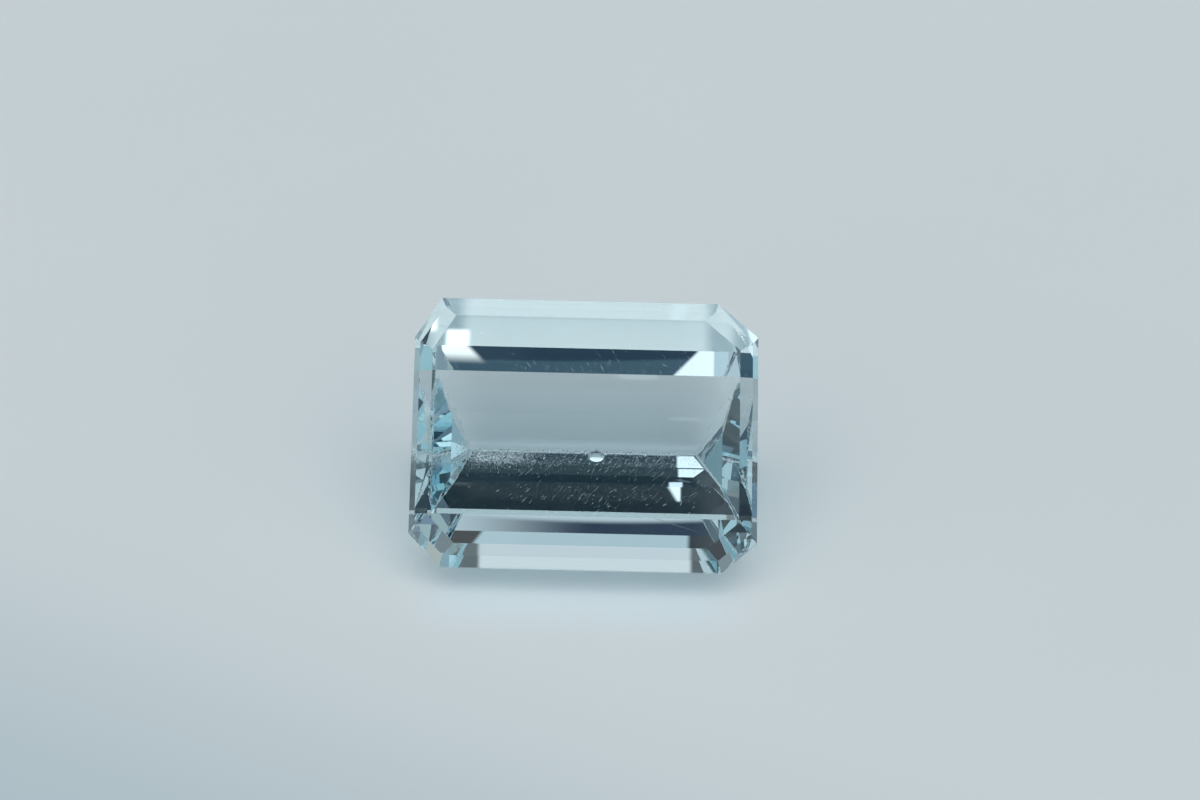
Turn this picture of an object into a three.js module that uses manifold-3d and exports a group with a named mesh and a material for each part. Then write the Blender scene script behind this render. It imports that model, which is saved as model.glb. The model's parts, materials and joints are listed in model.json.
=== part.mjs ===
// A loose faceted topaz: a step-cut octagon (an emerald cut), 12 mm long, which lies tipped on one of
// the long-side facets of its pavilion, as a cut stone does when it is set down on a table.
//
// It is made as a cutter makes it. A block of rough is ground away one flat at a time, and each flat
// is one pass of a lap: a direction round the stone, and two points of the stone's profile there.
// Millimetres, +Z up. The origin is on the surface that the stone rests on, under the middle of its
// bounding box. +X runs along the keel, and the table faces up and towards -Y.
import * as THREE from "three";
import { mergeVertices } from "three/addons/utils/BufferGeometryUtils.js";
import Module from "manifold-3d";

// --- driving dimensions -----------------------------------------------------------------------------
// They are given as the stone is held for cutting, table level and on top. A level is one height in
// it, from the lower edge of the girdle at 0. It says how far the stone reaches there from its middle
// to each long side (far, near) and to each end (left, right). It also says how much of each square
// corner is cut off, as the mean of the cut's two legs: far right, far left, near left, near right. A
// negative leg is a corner that is left standing. The levels are not quite alike on both sides: the
// stone was cut by hand.

const girdle = { far: 4.78, near: 4.78, left: 6, right: 6, legs: [1.3, 1.17, 1.12, 1.12] };

// How many times longer each corner's cut is along the end than along the long side: 1 is a cut at
// exactly 45 degrees. The corners are in the same order as the legs.
const cornerSlants = [0.84, 1.59, 1.04, 0.86];

const pavilion = [
  { height: 0, ...girdle },
  { height: -3.03, far: 2.62, near: 2.56, left: 5.32, right: 5.5, legs: [-0.21, -0.06, -0.04, 0.07] },
  { height: -4.12, far: 1.27, near: 1.28, left: 4.71, right: 4.91, legs: [0.27, 0.19, 0.16, 0.04] },
  { height: -4.99, far: 0.02, near: -0.02, left: 4.02, right: 4.01, legs: [0.06, 0.06, 0.06, 0.06] },
];

const crown = [
  { height: 0.2, ...girdle },
  { height: 0.44, far: 4.42, near: 4.42, left: 5.8, right: 5.8, legs: [1.21, 1.09, 1.02, 1.07] },
  { height: 0.66, far: 4.04, near: 4.04, left: 5.35, right: 5.35, legs: [1.14, 1.01, 0.95, 1.0] },
];

const restingTier = 2; // the stone lies on the near long-side facet between pavilion levels 1 and 2

// Flakes lost from the keel: where along it and how far to the near side the middle of the hollow is,
// how wide the hollow is, and how deep it goes.
const keelChips = [{ along: 0.45, near: 0.2, width: 0.66, depth: 0.28 }];

const roughEdge = 16; // the block that the stone is cut from
const roundSteps = 24; // flats round a shell-shaped hollow

// --- solids -----------------------------------------------------------------------------------------

const wasm = await Module();
wasm.setup();

// A three.js geometry as a solid that can be cut.
function solid(geometry) {
  const bare = geometry.clone();
  bare.deleteAttribute("normal");
  bare.deleteAttribute("uv");
  const closed = mergeVertices(bare, 1e-5);
  return new wasm.Manifold(
    new wasm.Mesh({
      numProp: 3,
      vertProperties: closed.attributes.position.array,
      triVerts: new Uint32Array(closed.index.array),
    }),
  );
}

// A solid as a three.js geometry again.
function geometryOf(body) {
  const { vertProperties, triVerts } = body.getMesh();
  return new THREE.BufferGeometry()
    .setAttribute("position", new THREE.BufferAttribute(new Float32Array(vertProperties), 3))
    .setIndex(new THREE.BufferAttribute(new Uint32Array(triVerts), 1));
}

// The lap: a block whose face lies on a facet's plane and whose body is all that is ground away.
function lap({ point, outward }) {
  const block = new THREE.BoxGeometry(2 * roughEdge, 2 * roughEdge, 2 * roughEdge);
  const turn = new THREE.Quaternion().setFromUnitVectors(new THREE.Vector3(0, 0, 1), outward);
  const middle = point.clone().addScaledVector(outward, roughEdge);
  return solid(block.applyQuaternion(turn).translate(middle.x, middle.y, middle.z));
}

// --- facets -----------------------------------------------------------------------------------------

// One cut corner: the way that all its facets face, and how far it reaches at a level. Its square
// corner, before the cut, is given as how far the level reaches to the end and to the long side.
function cutCorner(order, toEnd, toSide, squareCorner) {
  const slant = cornerSlants[order];
  const length = Math.hypot(slant, 1);
  const reach = (at) => {
    const [end, side] = squareCorner(at);
    const legOnSide = (2 * at.legs[order]) / (1 + slant);
    return (slant * (end - legOnSide) + side) / length;
  };
  return { towards: [(toEnd * slant) / length, toSide / length], reach };
}

// The eight sides of the octagon: the way that each faces, and how far each reaches at a level.
const sides = [
  { towards: [1, 0], reach: (at) => at.right },
  cutCorner(0, 1, 1, (at) => [at.right, at.far]),
  { towards: [0, 1], reach: (at) => at.far },
  cutCorner(1, -1, 1, (at) => [at.left, at.far]),
  { towards: [-1, 0], reach: (at) => at.left },
  cutCorner(2, -1, -1, (at) => [at.left, at.near]),
  { towards: [0, -1], reach: (at) => at.near },
  cutCorner(3, 1, -1, (at) => [at.right, at.near]),
];

// The facets of one side: the upright girdle, then one between each level and the next.
function facetsOf({ towards, reach }) {
  const out = new THREE.Vector3(...towards, 0);
  const facetBetween = (inner, outer) => {
    const rise = inner.height - outer.height;
    const inset = reach(outer) - reach(inner);
    return {
      point: out.clone().multiplyScalar(reach(inner)).setZ(inner.height),
      outward: out.clone().multiplyScalar(Math.abs(rise)).setZ(inset * Math.sign(rise)).normalize(),
    };
  };
  const tiers = [pavilion, crown].flatMap((levels) =>
    levels.slice(1).map((inner, i) => facetBetween(inner, levels[i])),
  );
  return [{ point: out.clone().multiplyScalar(reach(girdle)), outward: out }, ...tiers];
}

const table = {
  point: new THREE.Vector3(0, 0, crown.at(-1).height),
  outward: new THREE.Vector3(0, 0, 1),
};

// --- the stone --------------------------------------------------------------------------------------

function cutStone() {
  const rough = solid(new THREE.BoxGeometry(roughEdge, roughEdge, roughEdge));
  const facets = [...sides.flatMap(facetsOf), table];
  return facets.reduce((stone, facet) => stone.subtract(lap(facet)), rough);
}

// The hollow that a flake leaves: a flattened ball, as deep in the keel as the flake was.
function chipHollow({ along, near, width, depth }) {
  const keel = pavilion.at(-1);
  const ball = new THREE.SphereGeometry(width / 2, roundSteps, roundSteps / 2);
  return solid(ball.scale(1, 1, (2 * depth) / width).translate(along, -near, keel.height));
}

// The angle that lays the resting facet flat on the floor.
function restingTilt() {
  const outer = pavilion[restingTier - 1];
  const inner = pavilion[restingTier];
  return Math.atan2(outer.height - inner.height, outer.near - inner.near);
}

// A mesh turned to its resting tilt and set down with the middle of its box over the origin.
function setDown(mesh) {
  mesh.rotation.x = restingTilt();
  mesh.updateMatrixWorld(true);
  const box = new THREE.Box3().setFromObject(mesh, true);
  const middle = box.getCenter(new THREE.Vector3());
  mesh.position.set(-middle.x, -middle.y, -box.min.z);
  return mesh;
}

const polished = new THREE.MeshStandardMaterial({ color: 0xc4dbe2, roughness: 0.03, metalness: 0 });
const stone = keelChips.map(chipHollow).reduce((body, hollow) => body.subtract(hollow), cutStone());
const topaz = setDown(new THREE.Mesh(geometryOf(stone), polished));
topaz.name = "topaz";

const group = new THREE.Group();
group.add(topaz);

export default group;
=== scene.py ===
# %% [markdown]
# # A faceted topaz
#
# The stone is one crystal, cut as a step-cut octagon: long, narrow flat facets in rows that run
# parallel to its outline. A reader who is learning Blender will find four jobs here. The first is to
# take the exact solid from the frame and give it the worn edges that a handled stone has. The second
# is a clear material, whose whole look is light bent and bounced inside the stone. The third is the
# paper that it lies on. The last is the light, which matters more here than for any matt object.

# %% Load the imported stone
import json
import math

import bmesh
import bpy
import numpy as np
from mathutils import Matrix, Vector

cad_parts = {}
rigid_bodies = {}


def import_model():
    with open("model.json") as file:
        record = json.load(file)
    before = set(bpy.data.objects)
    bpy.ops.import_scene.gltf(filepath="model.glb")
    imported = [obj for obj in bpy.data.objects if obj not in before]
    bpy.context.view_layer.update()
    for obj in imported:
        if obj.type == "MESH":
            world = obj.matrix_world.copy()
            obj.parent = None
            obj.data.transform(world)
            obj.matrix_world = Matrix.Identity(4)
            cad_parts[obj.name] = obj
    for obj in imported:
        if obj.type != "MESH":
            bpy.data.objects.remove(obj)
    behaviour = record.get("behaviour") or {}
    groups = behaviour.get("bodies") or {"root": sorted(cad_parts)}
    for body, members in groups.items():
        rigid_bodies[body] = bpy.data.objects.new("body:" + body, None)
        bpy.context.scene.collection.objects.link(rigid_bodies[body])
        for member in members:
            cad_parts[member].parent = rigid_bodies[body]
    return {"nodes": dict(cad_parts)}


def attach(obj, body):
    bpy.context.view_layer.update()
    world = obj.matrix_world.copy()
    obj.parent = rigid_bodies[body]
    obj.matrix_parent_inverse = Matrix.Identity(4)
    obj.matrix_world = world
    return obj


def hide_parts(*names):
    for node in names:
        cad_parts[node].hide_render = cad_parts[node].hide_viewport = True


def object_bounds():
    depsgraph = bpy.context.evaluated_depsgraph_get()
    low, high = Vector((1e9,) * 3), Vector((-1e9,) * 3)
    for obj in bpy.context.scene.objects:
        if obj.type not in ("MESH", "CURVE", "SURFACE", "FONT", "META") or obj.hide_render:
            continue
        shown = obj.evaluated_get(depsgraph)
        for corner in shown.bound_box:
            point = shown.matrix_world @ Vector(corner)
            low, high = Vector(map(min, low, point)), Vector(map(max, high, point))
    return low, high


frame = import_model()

MM = 0.001
along_keel = np.array((1.0, 0.0, 0.0))
cad_low, cad_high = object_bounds()
cad_node = frame["nodes"]["topaz"]
print("stone in mm:", [round(side / MM, 2) for side in cad_high - cad_low])

# %% [markdown]
# ## The viewer
#
# The stone leans back on a facet, so its table, the big flat on top, faces the viewer. The camera
# looks down at it with a macro lens from close by. A camera's place is easiest to write as a
# direction back from what it looks at. Its three axes then go straight into a matrix, so no
# constraint or empty is needed.

# %% Camera
view_height = math.radians(35.82)
view_bearing = math.radians(-0.9)
view_roll = math.radians(1.87)
view_distance = 104.57 * MM
frame_width_angle = 2 * math.atan(0.2)
stone_right_of_middle = -0.535 * MM
stone_above_middle = -1.46 * MM

turn = Matrix.Rotation(view_bearing, 3, "Z")
back = turn @ Vector((0.0, -math.cos(view_height), math.sin(view_height)))
level_up = turn @ Vector((0.0, math.sin(view_height), math.cos(view_height)))
level_right = turn @ Vector((1.0, 0.0, 0.0))
right = math.cos(view_roll) * level_right + math.sin(view_roll) * level_up
up = math.cos(view_roll) * level_up - math.sin(view_roll) * level_right

stone_middle = (cad_low + cad_high) / 2
aim = stone_middle - stone_right_of_middle * right - stone_above_middle * up
place = aim + view_distance * back

camera_data = bpy.data.cameras.new("camera")
camera_data.angle = frame_width_angle
camera_data.clip_start = 1 * MM
camera_data.clip_end = 10.0
camera = bpy.data.objects.new("camera", camera_data)
camera.matrix_world = Matrix(
    [(*row, far) for row, far in zip(Matrix((right, up, back)).transposed(), place)] + [(0, 0, 0, 1)]
)
bpy.context.scene.collection.objects.link(camera)
bpy.context.scene.camera = camera
print("camera stands", round(view_distance / MM), "mm away")

# %% [markdown]
# ## Small helpers for nodes
#
# Materials and the light are both graphs of nodes. A few helpers keep the graphs readable: each takes
# a node tree and sockets, adds one node, and gives back the socket that carries its result.

# %% Node helpers
def node_value(tree, operation, *inputs):
    """One Math node. Each input is a socket or a plain number."""
    node = tree.nodes.new("ShaderNodeMath")
    node.operation = operation
    for socket, given in zip(node.inputs, inputs):
        if isinstance(given, bpy.types.NodeSocket):
            tree.links.new(given, socket)
        else:
            socket.default_value = given
    return node.outputs["Value"]


def crossing(tree, value, outside, inside, full=1.0):
    """A smooth S curve of a value: 0 where it is outside an edge, and full where it is inside."""
    node = tree.nodes.new("ShaderNodeMapRange")
    node.interpolation_type = "SMOOTHSTEP"
    node.inputs["From Min"].default_value = outside
    node.inputs["From Max"].default_value = inside
    tree.links.new(value, node.inputs["Value"])
    if isinstance(full, bpy.types.NodeSocket):
        tree.links.new(full, node.inputs["To Max"])
    return node.outputs["Result"]


def between(tree, value, span, soft, full=1.0):
    """Full while a value is within a span, falling smoothly to 0 over a width of soft at both ends."""
    middle, half = (span[0] + span[1]) / 2, (span[1] - span[0]) / 2
    offset = node_value(tree, "ABSOLUTE", node_value(tree, "SUBTRACT", value, middle))
    return crossing(tree, offset, half + soft / 2, half - soft / 2, full)


def blended(tree, under, over, amount):
    """The colour under changed to the colour over by an amount. Colours are sockets or plain triples."""
    node = tree.nodes.new("ShaderNodeMix")
    node.data_type = "RGBA"
    tree.links.new(amount, node.inputs[0])
    colour_sockets = [socket for socket in node.inputs if socket.type == "RGBA"]
    for socket, given in zip(colour_sockets, (under, over)):
        if isinstance(given, bpy.types.NodeSocket):
            tree.links.new(given, socket)
        else:
            socket.default_value = (*given, 1.0)
    return next(socket for socket in node.outputs if socket.type == "RGBA")


def soft_patch(tree, under, place, across, deep, soft, colour, slant=0.0):
    """A soft-edged rectangle of colour: x + slant * y within across, and y within deep."""
    x, y = place
    sheared = node_value(tree, "MULTIPLY_ADD", y, slant, x) if slant else x
    amount = between(tree, y, deep, soft[1], full=between(tree, sheared, across, soft[0]))
    return blended(tree, under, colour, amount)


def new_material(name):
    """An empty node material: its tree and its output node come back with it."""
    material = bpy.data.materials.new(name)
    material.use_nodes = True
    material.node_tree.nodes.clear()
    return material, material.node_tree, material.node_tree.nodes.new("ShaderNodeOutputMaterial")


# %% [markdown]
# ## The stone's solid
#
# The exact solid comes as loose triangles. For glass the mesh must be one closed skin, so the copy is
# merged, and its coplanar triangles are joined back into whole facets. A facet that is a single flat
# face also gives Blender nothing to shade smoothly by mistake.

# %% A merged copy with whole facets
same_corner = 0.0005 * MM
same_plane = math.radians(0.2)


def merged_copy(node, name):
    """The node's triangles as one closed mesh: doubled corners become one, and flat neighbours one face."""
    shape = bmesh.new()
    shape.from_mesh(node.data)
    bmesh.ops.remove_doubles(shape, verts=shape.verts, dist=same_corner)
    bmesh.ops.dissolve_limit(shape, angle_limit=same_plane, verts=shape.verts, edges=shape.edges)
    mesh = bpy.data.meshes.new(name)
    shape.to_mesh(mesh)
    shape.free()
    piece = bpy.data.objects.new(name, mesh)
    bpy.context.scene.collection.objects.link(piece)
    return piece


topaz = merged_copy(cad_node, "topaz_polished")
print("facets and chip faces:", len(topaz.data.polygons))

# %% [markdown]
# ## Where the edges are
#
# This stone has been carried loose with others. Its keel, the long ridge of the back, is worn white,
# the ridges that run up from it are nicked, and the facets on both sides of it are scratched. All of
# that is cut into the solid rather than painted on, because in a clear stone each groove also bends
# the light. So first the ridges have to be found. Two facets meet in each edge of the mesh, and the
# way they face tells what the edge is: both look away from the table on the stone's back.

# %% The table and the keel
least_upward = 0.2
keel_tolerance = 0.02 * MM

points = np.array([vertex.co for vertex in topaz.data.vertices])
facet_normals = np.array([facet.normal for facet in topaz.data.polygons])
facet_middles = np.array([facet.center for facet in topaz.data.polygons])
facet_areas = np.array([facet.area for facet in topaz.data.polygons])
looking_up = facet_normals[:, 2] > least_upward
table_facet = np.argmax(np.where(looking_up, facet_areas, 0.0))
table_normal, table_middle = facet_normals[table_facet], facet_middles[table_facet]
depth = (table_middle - points) @ table_normal
on_keel = points[depth > depth.max() - keel_tolerance]
keel_ends = on_keel[np.argsort(on_keel[:, 0])][[0, -1]]
print("keel from", (keel_ends[0] / MM).round(2), "to", (keel_ends[1] / MM).round(2))

# %% The ridges of the back
def ridges(mesh):
    """The two ends of each edge of a mesh, and how sharply its two facets turn there, in degrees."""
    shape = bmesh.new()
    shape.from_mesh(mesh)
    ends = np.array([[vertex.co for vertex in edge.verts] for edge in shape.edges])
    turns = np.degrees([edge.calc_face_angle() for edge in shape.edges])
    shape.free()
    return ends, turns


least_turn = 20
least_length = 0.4 * MM
least_depth = 3.2 * MM
most_along_keel = 0.85

ridge_ends, ridge_turns = ridges(topaz.data)
ridge_spans = ridge_ends[:, 1] - ridge_ends[:, 0]
ridge_lengths = np.linalg.norm(ridge_spans, axis=1)
below_table = ((table_middle - ridge_ends) @ table_normal).min(axis=1)
climbing = np.abs(ridge_spans[:, 0]) < most_along_keel * ridge_lengths
sharp_and_long = (ridge_turns > least_turn) & (ridge_lengths > least_length)
hips = ridge_ends[(below_table > least_depth) & climbing & sharp_and_long]
print("ridges that climb from the keel:", len(hips))

# %% [markdown]
# ## Tools that wear the stone
#
# Wear is cut with two tools. A ragged tube along a ridge takes the ridge away and leaves a chain of
# small shells, as knocks do. A thin spindle laid on a facet leaves one scratch. Both are grids of
# points worked out in one go: a line gives the stations, and a ring round each station gives its
# width. All random numbers come from one seeded generator, so each run wears the stone in the same way.

# %% Ragged tubes
chance = np.random.default_rng(7)


def ring_mesh(name, rings):
    """A closed skin over rings of points, stations by sides, with a flat face over each end."""
    stations, sides, _ = rings.shape
    index = np.arange(stations * sides).reshape(stations, sides)
    beside = np.roll(index, -1, axis=1)
    walls = np.stack([index[:-1], beside[:-1], beside[1:], index[1:]], axis=-1).reshape(-1, 4)
    mesh = bpy.data.meshes.new(name)
    end_faces = [index[0].tolist(), index[-1].tolist()]
    mesh.from_pydata(rings.reshape(-1, 3).tolist(), [], walls.tolist() + end_faces)
    shape = bmesh.new()
    shape.from_mesh(mesh)
    bmesh.ops.recalc_face_normals(shape, faces=shape.faces)
    shape.to_mesh(mesh)
    shape.free()
    return mesh


def ragged_tube(start, end, radius, teeth=1.0, sides=8, spacing=0.035 * MM):
    """Rings along a line, thin at both ends: radius times (slow wear + quick roughness + sparse teeth)."""
    span = end - start
    length = np.linalg.norm(span)
    stations = max(8, int(length / spacing))
    along = np.linspace(0.0, 1.0, stations)
    turn = np.linspace(0.0, 2 * np.pi, sides, endpoint=False)
    knots = np.linspace(0.0, 1.0, max(3, int(length / (0.3 * MM))))
    slow = np.interp(along, knots, chance.random(len(knots)))[:, None]
    quick = chance.random((stations, sides))
    sparse = teeth * chance.random((stations, 1)) ** 6 * (0.5 + chance.random((stations, sides)))
    sparse = sparse + 0.6 * (np.roll(sparse, 1, axis=0) + np.roll(sparse, -1, axis=0))
    taper = np.sqrt(1.0 - np.abs(2 * along - 1) ** 6 * 0.98)[:, None]
    width = radius * taper * (0.35 + 0.5 * slow + 0.4 * quick + 1.5 * sparse)
    first = np.cross(span, (0.3, 0.2, 1.0))
    first /= np.linalg.norm(first)
    second = np.cross(span / length, first)
    ring = np.cos(turn)[:, None] * first + np.sin(turn)[:, None] * second
    return start + along[:, None, None] * span + width[:, :, None] * ring


# %% Spindles for scratches
def spindle(middle, run, facing, length, width, stations=6):
    """A thin diamond bar on a facet: its width and depth swell as the root of a sine from end to end."""
    along = np.linspace(0.02, 0.98, stations)
    swell = np.sqrt(np.sin(np.pi * along))[:, None, None]
    aside = np.cross(facing, run)
    diamond = np.stack([aside * width / 2, facing * width * 0.4, -aside * width / 2, -facing * width * 0.3])
    return middle + ((along - 0.5) * length)[:, None, None] * run + swell * diamond


# %% [markdown]
# ## The worn keel and the nicked ridges
#
# The keel carries the most wear, in a strip about a tenth of a millimetre wide. The ridges that climb
# from its ends to the corners, a cutter's hips, are worn in a narrower line. One nick is laid on each
# hip at a random place. The shells along the keel are given as shares of its length, so that
# they come in loose groups and keep away from the large flake.

# %% Wear along the keel and the hips
keel_radius = 0.037 * MM
keel_spacing = 0.024 * MM
hip_radius = 0.009 * MM

cutters = bpy.data.collections.new("cutters")
bpy.context.scene.collection.children.link(cutters)


def add_cutter(name, rings):
    """One tool in the collection that is cut away from the stone."""
    cutters.objects.link(bpy.data.objects.new(name, ring_mesh(name, rings)))


add_cutter("keel_wear", ragged_tube(*keel_ends, keel_radius, teeth=0.8, spacing=keel_spacing))
for start, end in hips:
    add_cutter("hip_wear", ragged_tube(start, end, hip_radius, teeth=0.9, sides=6))

# %% Nicks in the hips and shells along the keel
nick_radius = 0.03 * MM
nick_spacing = 0.015 * MM
shell_spacing = 0.018 * MM
shells_along_keel = (0.13, 0.24, 0.37, 0.43, 0.475, 0.6, 0.625, 0.7, 0.78, 0.84, 0.93)

for start, end in hips:
    at = start + chance.random() * (end - start)
    reach = (0.05 + 0.1 * chance.random()) * (end - start) / np.linalg.norm(end - start) * MM
    rings = ragged_tube(at - reach, at + reach, nick_radius, teeth=0.4, sides=7, spacing=nick_spacing)
    add_cutter("nick", rings)

to_near_side = np.cross(table_normal, along_keel) * -0.02 * MM
for share in shells_along_keel:
    at = keel_ends[0] + share * (keel_ends[1] - keel_ends[0]) + to_near_side
    reach = (0.04 + 0.06 * chance.random()) * MM * along_keel
    radius = (0.045 + 0.04 * chance.random()) * MM
    rings = ragged_tube(at - reach, at + reach, radius, teeth=0.3, sides=9, spacing=shell_spacing)
    add_cutter("keel_nick", rings)

# %% [markdown]
# ## Scratches
#
# The scratches lie on the two facets under the keel, most of them slanting the same way, and they are
# densest near the keel's left end. Each is placed by its share of the way along and across its facet.
# A scratch that would cross one already placed is left out, so that no two spindles run through each
# other. The scratches could also be a bump map, but a bump stands only for gentle slopes. A scratch has
# steep walls, and they let light through where the polished facet around them is a mirror.

# %% Room for each scratch
scratch_gap = 0.02 * MM
taken = {}


def clear_of_others(stretch, rank):
    """Whether a line of points keeps its gap from every scratch already on the facet. If so it is noted."""
    others = taken.setdefault(rank, [])
    if others:
        apart = np.linalg.norm(np.concatenate(others)[:, None] - stretch[None], axis=2)
        if apart.min() < scratch_gap:
            return False
    others.append(stretch)
    return True


# %% Facets of the back
least_long_facet = 8.0 * MM**2
same_facing = math.cos(math.radians(0.5))
from_viewer = -0.1
from_table = -0.2


def face_of_back(rank):
    """A long facet on the viewer's side of the back: its rank from the keel, its normal and its corners."""
    square_to_keel = np.abs(facet_normals[:, 0]) < 0.02
    away = facet_normals @ table_normal
    viewer_side = facet_normals @ np.cross(table_normal, along_keel) < from_viewer
    of_back = square_to_keel & viewer_side & (away < from_table) & (facet_areas > least_long_facet)
    from_keel = np.flatnonzero(of_back)[np.argsort(away[of_back])]
    facing = facet_normals[from_keel[rank]]
    alike = np.flatnonzero(facet_normals @ facing > same_facing)
    corners = [index for facet in alike for index in topaz.data.polygons[facet].vertices]
    return rank, facing, points[corners]


under_keel, resting, outer = face_of_back(0), face_of_back(1), face_of_back(2)
print("facing:", [facing.round(2).tolist() for _, facing, _ in (under_keel, resting, outer)])


# %% Strewing scratches over a facet
lean_spread = 12
checked_points = 31


def strew(facet, count, leaning, around, spread, longest, widest):
    """Spindles strewn over a four-sided facet, as a cloud around one place on it.

    A place is the share of the way from left to right and from the keel side down. The cloud is a
    normal one, folded back at the keel. Most scratches are far shorter than the longest.
    """
    rank, facing, corners = facet
    down = np.cross(facing, along_keel)
    fall = corners @ down
    rows = [corners[np.abs(fall - edge) < 0.1 * MM] for edge in (fall.min(), fall.max())]
    (top_left, top_right), (low_left, low_right) = [row[np.argsort(row[:, 0])][[0, -1]] for row in rows]
    bars = []
    for _ in range(count):
        u, v = np.abs(np.array(around) + np.array(spread) * chance.standard_normal(2))
        lean = math.radians(leaning + lean_spread * chance.standard_normal())
        length = longest * (0.15 + 0.85 * chance.random() ** 3)
        width = widest * (0.3 + 0.7 * chance.random() ** 2)
        if not (0.03 < u < 0.97 and 0.02 < v < 0.97):
            continue
        middle = (top_left * (1 - u) + top_right * u) * (1 - v) + (low_left * (1 - u) + low_right * u) * v
        run = math.cos(lean) * along_keel - math.sin(lean) * down
        stretch = middle + (np.linspace(-0.5, 0.5, checked_points) * length)[:, None] * run
        if clear_of_others(stretch, rank):
            bars.append(spindle(middle, run, facing, length, width))
    return bars


# %% All the scratches
def add_scratches(name, bars):
    """Many spindles as one cutter: each is a closed ring mesh, and they are joined in one mesh."""
    shape = bmesh.new()
    for bar in bars:
        shape.from_mesh(ring_mesh(name, bar))
    mesh = bpy.data.meshes.new(name)
    shape.to_mesh(mesh)
    shape.free()
    cutters.objects.link(bpy.data.objects.new(name, mesh))


# Each row: name, facet, how many, how they lean in degrees, around which place and how far spread,
# and the longest and widest in millimetres.
strewn = [
    ("rising", under_keel, 190, 58, (0.7, 0.3), (0.2, 0.35), 0.5, 0.015),
    ("long", under_keel, 16, 60, (0.6, 0.4), (0.3, 0.4), 0.9, 0.014),
    ("falling", under_keel, 26, 118, (0.28, 0.1), (0.15, 0.2), 0.4, 0.013),
    ("strokes", under_keel, 620, 92, (0.06, 0.03), (0.17, 0.3), 0.2, 0.02),
    ("specks", under_keel, 130, 80, (0.5, 0.1), (0.4, 0.3), 0.04, 0.014),
    ("rising", resting, 170, 58, (0.6, 0.35), (0.25, 0.35), 0.5, 0.015),
    ("specks", resting, 60, 80, (0.4, 0.4), (0.4, 0.4), 0.04, 0.015),
    ("outer", outer, 12, 70, (0.5, 0.5), (0.3, 0.3), 0.5, 0.012),
]
for name, facet, count, leaning, around, spread, longest, widest in strewn:
    bars = strew(facet, count, leaning, around, spread, longest * MM, widest * MM)
    add_scratches(name, bars)

# %% [markdown]
# ## Cutting it all away
#
# One Boolean modifier takes every tool away from the stone. Its result is stored as the stone's own
# mesh, and the tools are thrown away. Then each face is told apart: one that still lies in the plane
# of a cut facet is polished, and any other is the inside of a shell or a scratch. That is kept as an
# attribute of the faces, because one material has to finish both: two materials on one clear body
# would each open and close its own volume.

# %% The cut
def cut_all(piece, tools):
    """The piece less every mesh in a collection of tools, stored as its own mesh."""
    cut = piece.modifiers.new("wear", "BOOLEAN")
    cut.operation = "DIFFERENCE"
    cut.operand_type = "COLLECTION"
    cut.collection = tools
    cut.solver = "EXACT"
    evaluated = piece.evaluated_get(bpy.context.evaluated_depsgraph_get())
    worn = bpy.data.meshes.new_from_object(evaluated)
    piece.modifiers.clear()
    piece.data = worn
    for tool in list(tools.objects):
        bpy.data.objects.remove(tool)
    bpy.data.collections.remove(tools)


most_off_plane = 0.0006 * MM
least_alike = 0.9998


def in_planes(piece, normals, middles):
    """Whether each face of the piece lies in one of the planes given by normals and middles."""
    facing = np.array([face.normal for face in piece.data.polygons])
    centres = np.array([face.center for face in piece.data.polygons])
    off_plane = np.abs(centres @ normals.T - np.sum(normals * middles, axis=1))
    return ((off_plane < most_off_plane) & (facing @ normals.T > least_alike)).any(axis=1)


cut_all(topaz, cutters)
print("stone after the cut:", len(topaz.data.polygons), "faces")

# %% Polished faces and worn ones
least_cut_facet = 0.05 * MM**2
wear_polished, wear_in_flake, wear_in_scratch = 0.0, 0.1, 1.0
cut_facets = facet_areas > least_cut_facet
polished = in_planes(topaz, facet_normals[cut_facets], facet_middles[cut_facets])
in_flake = in_planes(topaz, facet_normals[~cut_facets], facet_middles[~cut_facets])
wear = np.select([polished, in_flake], [wear_polished, wear_in_flake], wear_in_scratch)
topaz.data.attributes.new("worn", "FLOAT", "FACE").data.foreach_set("value", wear.astype(np.float32))
print("faces:", len(wear), "polished:", int(polished.sum()), "in the flake's shell:", int(in_flake.sum()))

# %% [markdown]
# ## Clear topaz
#
# Topaz bends light by an index of 1.62, more than window glass, which is why its back facets act as
# mirrors. Its colour is inside it: a faint blue that deepens with the length of the way through, so
# it is made by absorption in the volume, and the surface itself stays white. Where the stone is worn
# the polish is gone, and those faces are rough. Close to the keel a frosting of fine short strokes
# spreads over the polished facet too, most of all at the left end. They are finer than a mesh could
# carry, so they come from a stretched noise: wherever it passes a threshold, the polish is gone.

# %% Where the frosting is
frosting_reach = 1.5 * MM
frosting_lean = math.radians(58)
stroke_stretch = 5.0
stroke_fineness = 60000.0
roughest = 0.75


def frosting(tree, spot):
    """How frosted a spot is, 0 to 1: near the keel times on its viewer's side times more to the left."""
    keel = keel_ends.mean(axis=0)
    parts = tree.nodes.new("ShaderNodeSeparateXYZ")
    tree.links.new(spot, parts.inputs["Vector"])
    across = node_value(tree, "SUBTRACT", parts.outputs["Y"], float(keel[1]))
    up = node_value(tree, "SUBTRACT", parts.outputs["Z"], float(keel[2]))
    across_squared, up_squared = node_value(tree, "POWER", across, 2.0), node_value(tree, "POWER", up, 2.0)
    distance = node_value(tree, "SQRT", node_value(tree, "ADD", across_squared, up_squared))
    near_keel = crossing(tree, distance, frosting_reach, 0.05 * MM)
    left_end_reach = (float(keel[0] - 0.8 * MM), float(keel_ends[0][0] + 0.9 * MM))
    left_end = crossing(tree, parts.outputs["X"], *left_end_reach)
    near_side = crossing(tree, across, 0.01 * MM, -0.03 * MM)
    stronger_left = node_value(tree, "MULTIPLY_ADD", left_end, 0.5, 0.5)
    return node_value(tree, "MULTIPLY", near_side, node_value(tree, "MULTIPLY", near_keel, stronger_left))


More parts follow.
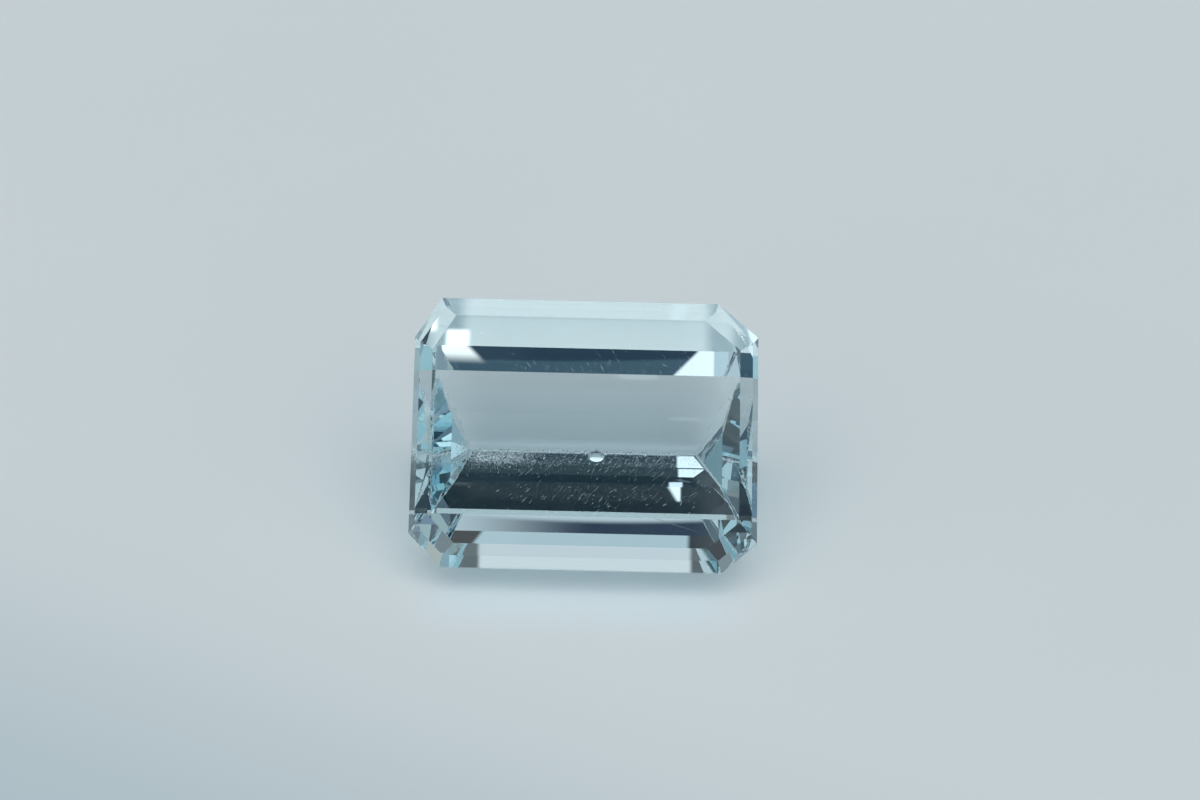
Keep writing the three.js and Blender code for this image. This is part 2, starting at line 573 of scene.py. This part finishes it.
def stone_roughness(tree):
    """Roughness: the larger of the faces' wear and the frosting's strokes, times the roughest value."""
    worn = tree.nodes.new("ShaderNodeAttribute")
    worn.attribute_name = "worn"
    spot = tree.nodes.new("ShaderNodeTexCoord").outputs["Object"]
    stroked = tree.nodes.new("ShaderNodeMapping")
    stroked.vector_type = "TEXTURE"
    stroked.inputs["Rotation"].default_value = (0.0, 0.0, frosting_lean)
    stroked.inputs["Scale"].default_value = (stroke_stretch, 1.0, 1.0)
    tree.links.new(spot, stroked.inputs["Vector"])
    strokes = tree.nodes.new("ShaderNodeTexNoise")
    strokes.inputs["Scale"].default_value = stroke_fineness
    strokes.inputs["Detail"].default_value = 3.0
    tree.links.new(stroked.outputs["Vector"], strokes.inputs["Vector"])
    threshold = node_value(tree, "MULTIPLY_ADD", frosting(tree, spot), -0.3, 0.74)
    pitted = crossing(tree, node_value(tree, "SUBTRACT", strokes.outputs["Fac"], threshold), 0.0, 0.06)
    return node_value(tree, "MULTIPLY", node_value(tree, "MAXIMUM", worn.outputs["Fac"], pitted), roughest)


# %% The stone's material
topaz_index = 1.62
blue_inside = (0.25, 0.78, 0.9, 1.0)
blue_density = 24.0


def clear_stone(name):
    """A clear body: a white surface that lets all light in, and a volume that takes some red away."""
    material, tree, output = new_material(name)
    surface = tree.nodes.new("ShaderNodeBsdfPrincipled")
    surface.inputs["Base Color"].default_value = (1.0, 1.0, 1.0, 1.0)
    surface.inputs["IOR"].default_value = topaz_index
    surface.inputs["Transmission Weight"].default_value = 1.0
    inside = tree.nodes.new("ShaderNodeVolumeAbsorption")
    inside.inputs["Color"].default_value = blue_inside
    inside.inputs["Density"].default_value = blue_density
    tree.links.new(stone_roughness(tree), surface.inputs["Roughness"])
    tree.links.new(surface.outputs["BSDF"], output.inputs["Surface"])
    tree.links.new(inside.outputs["Volume"], output.inputs["Volume"])
    return material


topaz.data.materials.clear()
topaz.data.materials.append(clear_stone("topaz_clear"))
print("nodes in the stone's material:", len(topaz.data.materials[0].node_tree.nodes))

# %% The stone takes the place of the exact solid
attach(topaz, "root")
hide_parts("topaz")

# %% [markdown]
# ## The paper
#
# The stone lies on plain pale paper. It is modelled as a flat sheet a hair below the stone, because a
# real stone touches only the tips of the fibres: light leaves the stone, lights the paper under it and
# comes back in. If the sheet touched the resting facet, both would lie in one plane, and rays would be
# lost between them.

# %% The sheet
paper_reach = 1.0
paper_steps = 8
fibre_height = 0.02 * MM


def flat_sheet(reach, steps, height):
    """A square grid: x and y each run from -reach to reach, and z is the same height everywhere."""
    line = np.linspace(-reach, reach, steps + 1)
    x, y = np.meshgrid(line, line)
    points = np.stack([x, y, np.full_like(x, height)], axis=-1).reshape(-1, 3)
    index = np.arange((steps + 1) ** 2).reshape(steps + 1, steps + 1)
    faces = np.stack([index[:-1, :-1], index[:-1, 1:], index[1:, 1:], index[1:, :-1]], axis=-1)
    mesh = bpy.data.meshes.new("paper")
    mesh.from_pydata(points.tolist(), [], faces.reshape(-1, 4).tolist())
    return mesh


paper = bpy.data.objects.new("paper", flat_sheet(paper_reach, paper_steps, -fibre_height))
bpy.context.scene.collection.objects.link(paper)
print("paper:", 2 * paper_reach, "m square,", len(paper.data.polygons), "faces")

# %% [markdown]
# ## The paper's finish and painted shade
#
# Paper is matt, a little cloudy and faintly furry. The clouds are a slow noise between two pale
# colours, and the fibres are a fine noise in a bump, since nobody will look at them from the side.
# Two soft changes of colour are painted shade: the sheet is deeper just behind the stone, where it stands
# in the stone's own shade, and it dims slowly towards the viewer's left, away from the light.

# %% Clouds and painted shade on the paper
paper_blue, paper_pale = (0.69, 0.75, 0.77), (0.71, 0.765, 0.785)
paper_dim = (0.51, 0.61, 0.66)
paper_in_shade = (0.577, 0.66, 0.697)
cloud_fineness = 25.0

paper_material, tree, output = new_material("paper")
surface = tree.nodes.new("ShaderNodeBsdfPrincipled")
tree.links.new(surface.outputs["BSDF"], output.inputs["Surface"])
spot = tree.nodes.new("ShaderNodeTexCoord").outputs["Object"]
parts = tree.nodes.new("ShaderNodeSeparateXYZ")
tree.links.new(spot, parts.inputs["Vector"])
on_sheet = (parts.outputs["X"], parts.outputs["Y"])

cloudy = tree.nodes.new("ShaderNodeTexNoise")
cloudy.inputs["Scale"].default_value = cloud_fineness
cloudy.inputs["Detail"].default_value = 3.0
tree.links.new(spot, cloudy.inputs["Vector"])
patchy = crossing(tree, cloudy.outputs["Fac"], 0.3, 0.7)
sheet_colour = blended(tree, paper_blue, paper_pale, patchy)
towards_light = node_value(tree, "MULTIPLY_ADD", parts.outputs["X"], 0.4, parts.outputs["Y"])
dimmer = crossing(tree, towards_light, -6.0 * MM, -26.0 * MM)
sheet_colour = blended(tree, sheet_colour, paper_dim, dimmer)


def patch_on_sheet(under, across, deep, soft, colour):
    """A soft patch of the sheet, with its place and edges in millimetres."""
    spans = [(span[0] * MM, span[1] * MM) for span in (across, deep, soft)]
    return soft_patch(tree, under, on_sheet, *spans, colour)


sheet_colour = patch_on_sheet(sheet_colour, (-6.0, 6.0), (1.4, 5.4), (1.5, 2.0), paper_in_shade)
tree.links.new(sheet_colour, surface.inputs["Base Color"])
print("nodes in the paper's colour:", len(tree.nodes))

# %% Fibres in the paper
fibre_fineness = 4000.0

surface.inputs["Roughness"].default_value = 0.9
surface.inputs["Specular IOR Level"].default_value = 0.1
fibres = tree.nodes.new("ShaderNodeTexNoise")
fibres.inputs["Scale"].default_value = fibre_fineness
fibres.inputs["Detail"].default_value = 4.0
tree.links.new(spot, fibres.inputs["Vector"])
raised = tree.nodes.new("ShaderNodeBump")
raised.inputs["Strength"].default_value = 0.25
raised.inputs["Distance"].default_value = fibre_height
tree.links.new(fibres.outputs["Fac"], raised.inputs["Height"])
tree.links.new(raised.outputs["Normal"], surface.inputs["Normal"])
paper.data.materials.append(paper_material)
print("nodes in the paper's material:", len(tree.nodes))

# %% [markdown]
# ## Pools of light
#
# A clear stone gathers light on the paper beneath it. Those bright pools are far too small and sharp
# for a path tracer to find by chance, so they are put in the paper's own material as a soft glow:
# one under the stone, one in front of it, a line under the keel, and a small bright one at the left.
# The line lights the worn keel and its frosting from below, which is what makes them white.

# %% Glow on the sheet
# Each row: across, deep and softness of the two edges in millimetres, and colour.
pools = [
    ((-4.5, 4.5), (-1.9, 1.2), (0.6, 0.6), (0.31, 0.30, 0.29)),
    ((-5.2, 5.2), (-5.6, -3.5), (2.6, 2.0), (0.0, 0.03, 0.055)),
    ((-4.0, 4.0), (2.7, 3.24), (0.4, 0.12), (0.55, 0.6, 0.62)),
    ((-5.1, -4.3), (-1.0, 0.1), (0.3, 0.3), (1.3, 1.3, 1.3)),
]
glow = (0.0, 0.0, 0.0)
for across, deep, soft, colour in pools:
    glow = patch_on_sheet(glow, across, deep, soft, colour)
tree.links.new(glow, surface.inputs["Emission Color"])
surface.inputs["Emission Strength"].default_value = 1.0
print("nodes with the glow:", len(tree.nodes))

# %% [markdown]
# ## The light tent
#
# A clear stone shows little of itself. Nearly all that is seen in it is the room above it, bent and
# mirrored by the facets, so the room has to be made with care even though the camera never sees it.
# A world shader is the cheapest room: it gives a colour to each direction. Here each thing in the
# room is a soft-edged panel on a map of the sky, where a direction's x and y are its place on the map
# and straight up is the middle. Such a map also weighs light as a flat floor receives it, so the
# floor's brightness is simply the map's mean.

# %% The tent's frame
tent = bpy.data.worlds.new("light_tent")
tent.use_nodes = True
bpy.context.scene.world = tent
sky = tent.node_tree
sky.nodes.clear()
tent_output = sky.nodes.new("ShaderNodeOutputWorld")
tent_glow = sky.nodes.new("ShaderNodeBackground")
sky.links.new(tent_glow.outputs["Background"], tent_output.inputs["Surface"])
square_to_viewer = sky.nodes.new("ShaderNodeMapping")
square_to_viewer.inputs["Rotation"].default_value = (0.0, 0.0, -view_bearing)
sky.links.new(sky.nodes.new("ShaderNodeTexCoord").outputs["Generated"], square_to_viewer.inputs["Vector"])
towards = sky.nodes.new("ShaderNodeSeparateXYZ")
sky.links.new(square_to_viewer.outputs["Vector"], towards.inputs["Vector"])
on_map = (towards.outputs["X"], towards.outputs["Y"])
print("nodes in the empty tent:", len(sky.nodes))

# %% [markdown]
# ## What hangs in the tent
#
# A flat facet keeps the directions of light: all that is seen through one facet comes from one small
# spot of the room. So each facet row of this stone shows one or two panels, and moving a panel's edge
# by a hundredth moves a bright shape inside the stone by a whole facet's width. The straight bright
# shapes over dark rows, which make a step cut look deep, are the edges of a doorway and of lamps.

# %% The panels
horizon, zenith = (0.41, 0.455, 0.445), (0.18, 0.25, 0.335)
room = blended(sky, horizon, zenith, crossing(sky, towards.outputs["Z"], 0.0, 1.0))

# Each row: across, deep, softness of the two edges, colour, and slant where the panel leans.
panels = [
    # the walls at both ends, and the far wall with its lighter foot
    ((0.45, 1.1), (-0.34, 0.54), (0.08, 0.29), (0.06, 0.08, 0.095), 0),
    ((-1.1, -0.46), (-0.48, 0.72), (0.1, 0.24), (0.06, 0.10, 0.13), 0),
    ((-1.2, 1.2), (0.78, 1.2), (0.1, 0.01), (0.48, 0.62, 0.68), 0),
    ((-1.2, 1.2), (0.90, 1.2), (0.1, 0.02), (0.535, 0.60, 0.645), 0),
    ((-0.1, 0.1), (0.959, 1.2), (0.02, 0.002), (0.62, 0.69, 0.72), 0),
    # the viewer and the camera, dark overhead
    ((-0.64, 0.055), (-0.66, 0.37), (0.06, 0.16), (0.035, 0.052, 0.062), 0),
    ((0.056, 0.123), (-0.69, 0.165), (0.01, 0.01), (0.60, 0.70, 0.76), 0),
    ((-0.5, -0.1), (0.34, 0.585), (0.05, 0.01), (0.41, 0.50, 0.59), 0),
    ((0.12, 0.35), (0.2, 0.63), (0.05, 0.08), (0.035, 0.045, 0.05), 0),
    ((0.12, 0.45), (-0.42, 0.25), (0.1, 0.07), (0.04, 0.06, 0.07), 0),
    # light and dark things in front, on both sides of the viewer
    ((-0.56, -0.24), (-0.77, -0.49), (0.06, 0.07), (0.5, 0.6, 0.66), 0),
    ((-0.245, -0.2), (-0.64, -0.58), (0.01, 0.01), (0.05, 0.10, 0.14), 0),
    ((-0.12, -0.06), (-0.52, -0.42), (0.01, 0.01), (0.02, 0.035, 0.05), 0),
    ((0.08, 0.14), (-0.74, -0.645), (0.01, 0.01), (0.05, 0.08, 0.09), 0),
    ((0.15, 0.19), (-0.67, -0.62), (0.01, 0.01), (0.28, 0.36, 0.4), 0),
    ((0.24, 0.30), (-0.64, -0.57), (0.01, 0.01), (0.36, 0.56, 0.61), 0),
    ((0.57, 0.68), (-0.55, -0.48), (0.02, 0.02), (0.36, 0.46, 0.48), 0),
    ((0.57, 0.65), (-0.61, -0.55), (0.02, 0.01), (0.27, 0.40, 0.46), 0),
    ((-0.7, -0.55), (-0.72, -0.65), (0.02, 0.02), (0.62, 0.78, 0.85), 0),
    ((-0.60, -0.50), (-0.56, -0.46), (0.02, 0.02), (0.36, 0.56, 0.62), 0),
    ((0.235, 0.29), (-0.30, -0.25), (0.01, 0.01), (0.016, 0.028, 0.038), 0),
    ((0.24, 0.29), (-0.93, -0.87), (0.01, 0.01), (0.02, 0.03, 0.04), 0),
    ((0.69, 0.76), (-0.16, -0.09), (0.02, 0.02), (0.02, 0.045, 0.09), 0),
    ((0.49, 0.56), (-0.52, -0.46), (0.01, 0.01), (0.015, 0.025, 0.035), 0),
    ((0.60, 0.66), (-0.31, -0.24), (0.01, 0.01), (0.03, 0.045, 0.055), 0),
    ((-0.8, -0.72), (-0.62, -0.56), (0.02, 0.02), (0.02, 0.04, 0.06), 0),
    ((-0.25, -0.19), (-0.94, -0.88), (0.02, 0.02), (0.02, 0.025, 0.03), 0),
    ((-0.26, -0.2), (-0.32, -0.26), (0.01, 0.01), (0.012, 0.02, 0.03), 0),
    ((-0.87, -0.81), (-0.47, -0.41), (0.01, 0.01), (0.02, 0.035, 0.045), 0),
    ((0.0, 0.12), (-0.88, -0.83), (0.01, 0.01), (0.07, 0.115, 0.12), 0),
    ((0.70, 0.80), (0.45, 0.55), (0.02, 0.02), (0.09, 0.11, 0.13), 0),
    # at the left end
    ((-0.61, -0.53), (-0.26, -0.15), (0.02, 0.02), (0.09, 0.17, 0.25), 0),
    ((-0.83, -0.74), (-0.11, -0.02), (0.02, 0.02), (0.32, 0.45, 0.52), 0),
    ((-0.83, -0.77), (-0.24, -0.17), (0.02, 0.01), (0.17, 0.29, 0.34), 0),
    ((-0.75, -0.62), (0.10, 0.17), (0.01, 0.01), (0.5, 0.6, 0.63), 0),
    ((-0.87, -0.74), (0.03, 0.125), (0.01, 0.01), (0.06, 0.09, 0.11), 0),
    ((-0.60, -0.54), (0.32, 0.38), (0.01, 0.01), (0.34, 0.56, 0.67), 0),
    ((-0.95, -0.86), (0.33, 0.43), (0.01, 0.02), (0.9, 1.0, 1.05), 0),
    ((-0.93, -0.87), (-0.48, -0.15), (0.02, 0.02), (0.05, 0.08, 0.11), 0),
    # at the right end
    ((0.56, 0.66), (0.54, 0.63), (0.02, 0.02), (0.05, 0.09, 0.13), 0),
    ((0.6, 0.66), (0.73, 0.79), (0.01, 0.01), (0.6, 0.7, 0.72), 0),
    ((0.82, 0.90), (0.38, 0.54), (0.02, 0.02), (0.30, 0.45, 0.54), 0),
    ((0.93, 1.0), (-0.12, -0.05), (0.01, 0.01), (0.34, 0.55, 0.62), 0),
    ((0.93, 1.0), (0.17, 0.27), (0.01, 0.02), (0.09, 0.12, 0.13), 0),
    ((0.87, 0.92), (-0.1, 0.06), (0.01, 0.01), (0.20, 0.22, 0.22), 0),
    ((0.90, 0.95), (0.06, 0.11), (0.01, 0.01), (0.12, 0.12, 0.10), 0),
    ((0.83, 0.90), (-0.50, -0.22), (0.02, 0.02), (0.28, 0.4, 0.46), 0),
    # on the far wall
    ((0.19, 0.26), (0.93, 1.0), (0.01, 0.01), (0.42, 0.56, 0.6), 0),
    ((0.22, 0.26), (0.89, 0.93), (0.01, 0.01), (0.42, 0.47, 0.45), 0),
    ((0.10, 0.15), (0.85, 0.90), (0.01, 0.01), (0.17, 0.21, 0.23), 0),
    ((-0.15, -0.10), (0.86, 0.90), (0.01, 0.01), (0.035, 0.04, 0.045), 0),
    ((-0.22, -0.17), (0.89, 0.94), (0.01, 0.01), (0.2, 0.25, 0.28), 0),
    # its foot, with a dark skirting
    ((-0.1, 0.1), (0.70, 0.78), (0.02, 0.004), (0.53, 0.64, 0.69), 0),
    ((-0.0275, 0.1), (0.70, 0.7572), (0.055, 0.002), (0.014, 0.028, 0.06), 0),
    ((-0.90, -0.774), (0.78, 0.85), (0.002, 0.01), (0.07, 0.07, 0.07), -0.91),
    ((0.0305, 0.1), (0.78, 0.85), (0.002, 0.01), (0.04, 0.05, 0.06), 0),
    ((-0.1, -0.0415), (0.93, 1.0), (0.002, 0.01), (0.06, 0.075, 0.085), 0),
    ((0.029, 0.1), (0.93, 1.0), (0.002, 0.01), (0.035, 0.045, 0.055), 0),
    # a bright floor lamp low behind the viewer
    ((-0.04, 0.09), (-1.0, -0.89), (0.02, 0.01), (1.0, 1.2, 1.27), 0),
    # a dark doorway behind the viewer, with bright jambs that lean
    ((-0.1, 0.1), (-0.66, -0.6), (0.02, 0.01), (0.06, 0.11, 0.15), 0),
    ((-0.1, 0.1), (-0.66, -0.6268), (0.02, 0.001), (0.025, 0.048, 0.078), 0),
    ((0.75, 0.8165), (-0.66, -0.6272), (0.003, 0.0035), (1.3, 1.3, 1.3), -1.33),
    ((-0.8062, -0.75), (-0.66, -0.6), (0.002, 0.01), (1.1, 1.2, 1.3), 1.37),
    ((0.0602, 0.12), (-0.66, -0.6), (0.001, 0.01), (0.55, 0.68, 0.76), 0),
    # straight above the stone: dark, with a bright edge on the right
    ((-0.06, 0.09), (-0.08, 0.0), (0.02, 0.01), (0.018, 0.037, 0.052), 0),
    ((-0.06, 0.09), (0.1, 0.15), (0.02, 0.01), (0.006, 0.022, 0.033), 0),
    ((-0.06, 0.09), (0.05, 0.1), (0.02, 0.01), (0.06, 0.08, 0.09), 0),
    ((-0.06, 0.09), (-0.28, -0.2), (0.02, 0.01), (0.008, 0.02, 0.03), 0),
    ((-0.06, 0.09), (-0.34, -0.28), (0.02, 0.002), (0.005, 0.012, 0.018), 0),
    ((0.0395, 0.09), (-0.06, 0.0), (0.001, 0.01), (1.0, 1.15, 1.25), 0),
    ((0.0375, 0.09), (0.105, 0.13), (0.001, 0.01), (1.0, 1.15, 1.25), 0),
    ((0.0405, 0.0449), (-0.2612, -0.2), (0.001, 0.0005), (0.9, 1.05, 1.25), 0),
    ((0.2271, 0.24), (-0.33, -0.2955), (0.002, 0.001), (1.1, 1.25, 1.35), -0.62),
    ((0.0449, 0.08), (-0.34, -0.28), (0.001, 0.002), (0.005, 0.012, 0.018), 0),
]
for across, deep, soft, colour, slant in panels:
    room = soft_patch(sky, room, on_map, across, deep, soft, colour, slant)
print("panels in the tent:", len(panels))

# %% [markdown]
# ## Daylight for the paper
#
# The same room has to light the paper evenly, as broad daylight does. A Light Path node tells the
# world how often a ray has already scattered: none, and it still carries the sharp picture in the
# stone; once or more, and it only brings light to the paper. So scattered rays get a plain soft sky:
# brightest overhead, cooler and dimmer behind the stone, and dimmed by the viewer low in front.

# %% The soft sky
light_behind, light_in_front = (0.27, 0.36, 0.42), (1.1, 1.07, 1.04)
light_overhead = (1.7, 1.68, 1.65)
dark_viewer = (0.45, 0.47, 0.48)

towards_viewer = crossing(sky, towards.outputs["Y"], 0.5, -0.7)
daylight = blended(sky, light_behind, light_in_front, towards_viewer)
daylight = soft_patch(sky, daylight, on_map, (-0.5, 0.5), (-0.5, 0.15), (0.4, 0.4), light_overhead)
daylight = soft_patch(sky, daylight, on_map, (-0.3, 0.3), (-1.1, -0.65), (0.2, 0.1), dark_viewer)
scattered = crossing(sky, sky.nodes.new("ShaderNodeLightPath").outputs["Diffuse Depth"], 0.0, 1.0)
sky.links.new(blended(sky, room, daylight, scattered), tent_glow.inputs["Color"])
print("nodes in the tent:", len(sky.nodes))

# %% [markdown]
# ## How light is traced
#
# Light bounces many times inside a stone before it finds a way out, so the limits on bounces are
# raised. Without a bounce limit high enough, the deepest facets would go black. The tent lights the
# scene from all round and softly, so paths find it by themselves: the map that Blender would build to
# aim at its brightest spots only costs time here. The picture is kept as it was lit, with no film curve.

# %% Tracing and picture
scene = bpy.context.scene
scene.view_settings.view_transform = "Standard"
scene.cycles.max_bounces = 32
scene.cycles.transmission_bounces = 32
scene.cycles.glossy_bounces = 16
scene.cycles.blur_glossy = 0.0
tent.cycles.sampling_method = "NONE"
print("bounces inside the stone:", scene.cycles.transmission_bounces)
